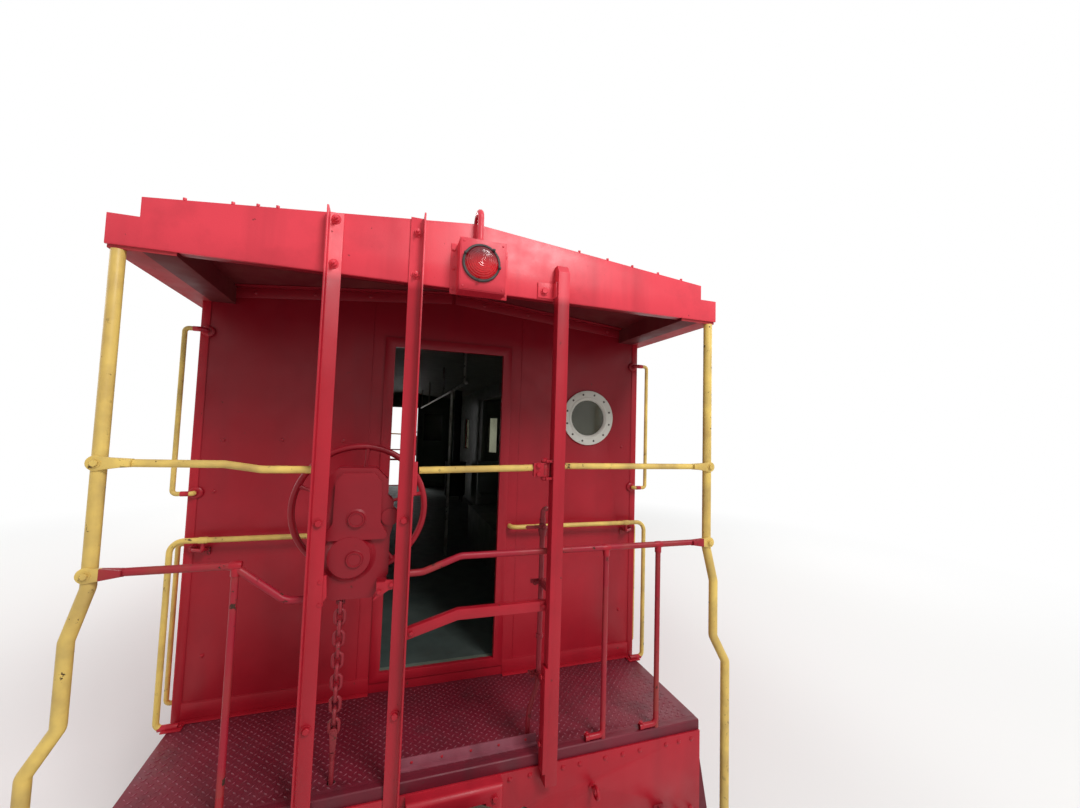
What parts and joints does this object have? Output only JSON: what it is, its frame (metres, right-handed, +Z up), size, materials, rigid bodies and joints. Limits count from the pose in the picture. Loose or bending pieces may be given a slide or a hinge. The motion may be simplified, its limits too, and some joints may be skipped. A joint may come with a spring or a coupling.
{
  "type": "bay-window caboose",
  "caption": "Red steel railway caboose with covered end platforms, bay windows, hand brakes, hinged doors, swivelling trucks, rolling wheelsets and swinging couplers.",
  "frame": {"origin": "centre of the car in plan, in the plane under the wheel flanges", "axes": "+X along the car towards end a, +Y to the right of someone facing end a from outside, +Z up"},
  "size_m": [11.014, 3.294, 3.9998],
  "materials": {
    "red_paint": "semi-gloss, faded and scuffed",
    "roof_paint": "matt, dusty",
    "tread_plate": "worn paint on diamond tread plate",
    "yellow_paint": "chipped and rust-stained",
    "ring_paint": "off-white, satin",
    "pane": "dusty clear glass",
    "red_lens": "deep red moulded lens",
    "weathered_steel": "steel with worn red paint",
    "underframe_paint": "matt black with brown dust",
    "cast_steel": "rust-brown cast steel",
    "wheel_steel": "rusty plate, bright tread",
    "cabin_floor_paint": "grey-green floor paint",
    "cabin_paint": "pale green enamel",
    "rail_steel": "hand-worn",
    "stove_iron": "black stove enamel"
  },
  "bodies": {
    "carbody": {"end_wall_a": "red_paint", "end_wall_b": "red_paint", "door_frames": "red_paint", "porthole_rings": "ring_paint", "window_frames": "red_paint", "window_glass": "pane", "fascias": "red_paint", "platform_decks": "tread_plate", "end_sills": "red_paint", "steps": "tread_plate", "railing_a": "yellow_paint", "railing_b": "yellow_paint", "ladder_stiles": "red_paint", "gate_posts": "red_paint", "brake_housings": "red_paint", "brake_chains": "weathered_steel", "air_pipes": "weathered_steel", "cut_levers": "weathered_steel", "marker_lamps": "red_paint", "marker_lenses": "red_lens", "grab_irons": "yellow_paint", "side_wall_left": "red_paint", "side_wall_right": "red_paint", "bay_left": "red_paint", "bay_right": "red_paint", "roof": "roof_paint", "smoke_jack": "roof_paint", "cabin_floor": "cabin_floor_paint", "centre_sill": "underframe_paint", "body_bolsters": "underframe_paint", "side_sills": "underframe_paint", "air_brake_gear": "underframe_paint", "equipment_boxes": "underframe_paint", "cabin_fittings": "cabin_paint", "cabin_rails": "rail_steel", "stove": "stove_iron"},
    "truck_a": {"side_frames_a": "cast_steel", "truck_bolster_a": "cast_steel", "leaf_springs_a": "cast_steel", "brake_beams_a": "cast_steel"},
    "wheelset_a1": {"wheelset_a1": "wheel_steel"},
    "wheelset_a2": {"wheelset_a2": "wheel_steel"},
    "door_a": {"door_a": "red_paint", "door_glass_a": "pane"},
    "hand_wheel_a": {"hand_wheel_a": "red_paint"},
    "gate_bar_a": {"gate_bar_a": "yellow_paint"},
    "coupler_a": {"coupler_a": "cast_steel"},
    "knuckle_a": {"knuckle_a": "cast_steel"},
    "truck_b": {"side_frames_b": "cast_steel", "truck_bolster_b": "cast_steel", "leaf_springs_b": "cast_steel", "brake_beams_b": "cast_steel"},
    "wheelset_b1": {"wheelset_b1": "wheel_steel"},
    "wheelset_b2": {"wheelset_b2": "wheel_steel"},
    "door_b": {"door_b": "red_paint", "door_glass_b": "pane"},
    "hand_wheel_b": {"hand_wheel_b": "red_paint"},
    "gate_bar_b": {"gate_bar_b": "yellow_paint"},
    "coupler_b": {"coupler_b": "cast_steel"},
    "knuckle_b": {"knuckle_b": "cast_steel"}
  },
  "joints": [
    {"name": "truck_a_swivel", "type": "hinge", "parent": "carbody", "child": "truck_a", "pos_m": [3.35, 0, 0.656], "axis": [0, 0, 1], "range_deg": [-6, 6]},
    {"name": "wheelset_a1_roll", "type": "hinge", "parent": "truck_a", "child": "wheelset_a1", "pos_m": [4.19, 0, 0.444], "axis": [0, 1, 0], "continuous": true},
    {"name": "wheelset_a2_roll", "type": "hinge", "parent": "truck_a", "child": "wheelset_a2", "pos_m": [2.51, 0, 0.444], "axis": [0, 1, 0], "continuous": true},
    {"name": "door_a_hinge", "type": "hinge", "parent": "carbody", "child": "door_a", "pos_m": [4.334, -0.36, 2.17], "axis": [0, 0, 1], "range_deg": [-172, 0]},
    {"name": "hand_wheel_a_turn", "type": "hinge", "parent": "carbody", "child": "hand_wheel_a", "pos_m": [4.94, -0.47, 2.278], "axis": [1, 0, 0], "continuous": true},
    {"name": "gate_bar_a_hinge", "type": "hinge", "parent": "carbody", "child": "gate_bar_a", "pos_m": [5.185, 0.381, 2.502], "axis": [0, 0, 1], "range_deg": [-88, 0]},
    {"name": "coupler_a_swing", "type": "hinge", "parent": "carbody", "child": "coupler_a", "pos_m": [4.767, 0, 0.901], "axis": [0, 0, 1], "range_deg": [-6, 6]},
    {"name": "knuckle_a_hinge", "type": "hinge", "parent": "coupler_a", "child": "knuckle_a", "pos_m": [5.395, -0.098, 0.901], "axis": [0, 0, 1], "range_deg": [-45, 0]},
    {"name": "truck_b_swivel", "type": "hinge", "parent": "carbody", "child": "truck_b", "pos_m": [-3.35, 0, 0.656], "axis": [0, 0, 1], "range_deg": [-6, 6]},
    {"name": "wheelset_b1_roll", "type": "hinge", "parent": "truck_b", "child": "wheelset_b1", "pos_m": [-4.19, 0, 0.444], "axis": [0, 1, 0], "continuous": true},
    {"name": "wheelset_b2_roll", "type": "hinge", "parent": "truck_b", "child": "wheelset_b2", "pos_m": [-2.51, 0, 0.444], "axis": [0, 1, 0], "continuous": true},
    {"name": "door_b_hinge", "type": "hinge", "parent": "carbody", "child": "door_b", "pos_m": [-4.334, 0.36, 2.17], "axis": [0, 0, 1], "range_deg": [-172, 0]},
    {"name": "hand_wheel_b_turn", "type": "hinge", "parent": "carbody", "child": "hand_wheel_b", "pos_m": [-4.94, 0.47, 2.278], "axis": [1, 0, 0], "continuous": true},
    {"name": "gate_bar_b_hinge", "type": "hinge", "parent": "carbody", "child": "gate_bar_b", "pos_m": [-5.185, -0.381, 2.502], "axis": [0, 0, 1], "range_deg": [-88, 0]},
    {"name": "coupler_b_swing", "type": "hinge", "parent": "carbody", "child": "coupler_b", "pos_m": [-4.767, 0, 0.901], "axis": [0, 0, 1], "range_deg": [-6, 6]},
    {"name": "knuckle_b_hinge", "type": "hinge", "parent": "coupler_b", "child": "knuckle_b", "pos_m": [-5.395, 0.098, 0.901], "axis": [0, 0, 1], "range_deg": [-45, 0]}
  ]
}
